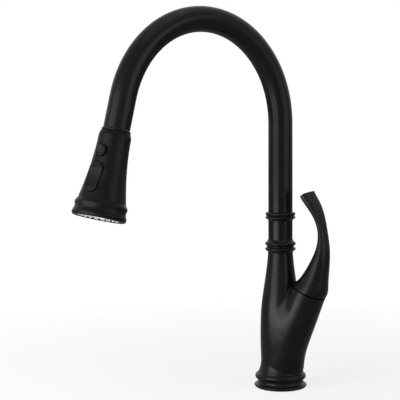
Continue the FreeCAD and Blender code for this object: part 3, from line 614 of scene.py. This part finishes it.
def branch_axis(along):
    """Distance out, height and lean of the branch's axis, that far along it."""
    corner_z = SEAM_Z - (SEAM_OUT - BRANCH_FOOT_OUT) / math.tan(BRANCH_TILT)
    bend_r = (corner_z - RING_H) / math.tan(BRANCH_TILT / 2)
    lean = min(along / bend_r, BRANCH_TILT)
    rest = along - bend_r * lean
    out = BRANCH_FOOT_OUT + bend_r * (1 - math.cos(lean)) + rest * math.sin(BRANCH_TILT)
    up = RING_H + bend_r * math.sin(lean) + rest * math.cos(BRANCH_TILT)
    return out, up, lean


def make_valley(materials, tree):
    """A skin over the crease between trunk and branch, widest in the upper middle of the casting."""
    trunk = trunk_frame()
    heights = np.arange(TRUNK_FROM, TRUNK_TO, STEP)
    trunk_radii = [outside_radius(tree, trunk, (0, 0, z), (-1, 0, 0)) for z in heights]
    lengths = np.arange(BRANCH_FROM, BRANCH_TO, STEP)
    axis = [branch_axis(length) for length in lengths]
    branch_radii = [outside_radius(tree, trunk, (out, 0, up), (math.cos(lean), 0, -math.sin(lean)))
                    for out, up, lean in axis]
    axis_out, axis_up, axis_lean = np.array(axis).T
    melt_z, melt_w = zip(*MELT)

    def gaps(x, y, z):
        """Distances of points at one height from the trunk's and the branch's surfaces."""
        from_trunk = np.hypot(x, y) - np.interp(z, heights, trunk_radii)
        side = (x[:, None] - axis_out) * np.sin(axis_lean) + (z - axis_up) * np.cos(axis_lean)
        near = np.argmin(np.abs(side), axis=1)
        along = lengths[near] + side[np.arange(len(x)), near]
        out = np.interp(along, lengths, axis_out)
        up = np.interp(along, lengths, axis_up)
        lean = np.interp(along, lengths, axis_lean)
        flat = (x - out) * np.cos(lean) - (z - up) * np.sin(lean)
        from_branch = np.hypot(flat, y) - np.interp(along, lengths, branch_radii)
        return from_trunk, from_branch

    def depth_at(x, z, width):
        """Distance from the middle plane at which the melted surface lies."""
        low = np.zeros(len(x))
        high = np.full(len(x), VALLEY_DEEPEST)
        for _ in range(HALVINGS):
            middle = (low + high) / 2
            a, b = gaps(x, middle, z)
            h = np.maximum(width - np.abs(a - b), 0.0) / width
            inside = np.minimum(a, b) - h * h * width / 4 < 0
            low = np.where(inside, middle, low)
            high = np.where(inside, high, middle)
        return (low + high) / 2

    rows = []
    for z in np.arange(VALLEY_FROM, VALLEY_TO, STEP):
        width = float(np.interp(z, melt_z, melt_w))
        seam_x = SEAM_OUT - (z - SEAM_Z) / math.tan(BRANCH_TILT) - SEAM_MARGIN
        fine = np.linspace(VALLEY_LEFT, min(VALLEY_RIGHT, seam_x), FINE_COLUMNS)
        a, b = gaps(fine, depth_at(fine, z, width), z)
        zone = fine[np.abs(a - b) < width]
        x = np.linspace(zone[0], zone[-1], VALLEY_COLUMNS)
        y = depth_at(x, z, width)
        y[0] -= SKIN
        y[-1] -= SKIN
        rows.append((x, y, z))
    points, faces = [], []
    for sign in (1.0, -1.0):
        first = len(points)
        for x, y, z in rows:
            points += [(float(x[j]), sign * float(y[j]), float(z)) for j in range(VALLEY_COLUMNS)]
        add_sheet(faces, first, len(rows), VALLEY_COLUMNS, flip=sign > 0)
    add_piece("casting_valley", points, faces, "body", "black_metal", materials, trunk)


def make_painted_seam_shade(materials, tree):
    """Painted shade: a near-black ring over the casting's edge along the seam, standing in for the shadow
    in its chamfer.
    """
    branch = branch_frame()
    points, faces = [], []
    for z in SHADE_RING_ROWS:
        for i in range(SEAM_SEGMENTS):
            angle = 2 * math.pi * i / SEAM_SEGMENTS
            way = (math.cos(angle), math.sin(angle), 0.0)
            radius = min(outside_radius(tree, branch, (0, 0, z), way), SHADE_RING_MAX_R) + SKIN
            points.append((way[0] * radius, way[1] * radius, z))
    add_sheet(faces, 0, len(SHADE_RING_ROWS), SEAM_SEGMENTS, closed=True)
    add_piece("painted_seam_shade_ring", points, faces, "body", "black_metal", materials, branch, "painted_seam_shade")


# The scene

bpy.context.scene.view_settings.view_transform = "Standard"
make_camera()
make_world()
make_floor()
make_lights()
materials = make_materials()
dress_nodes(materials)
make_nozzles(materials)
make_aerator_webs(materials)
make_bonnet(materials)
make_threads(materials)
casting_rays = casting_tree()
make_valley(materials, casting_rays)
# Painted shade along the lever's seam
make_painted_seam_shade(materials, casting_rays)
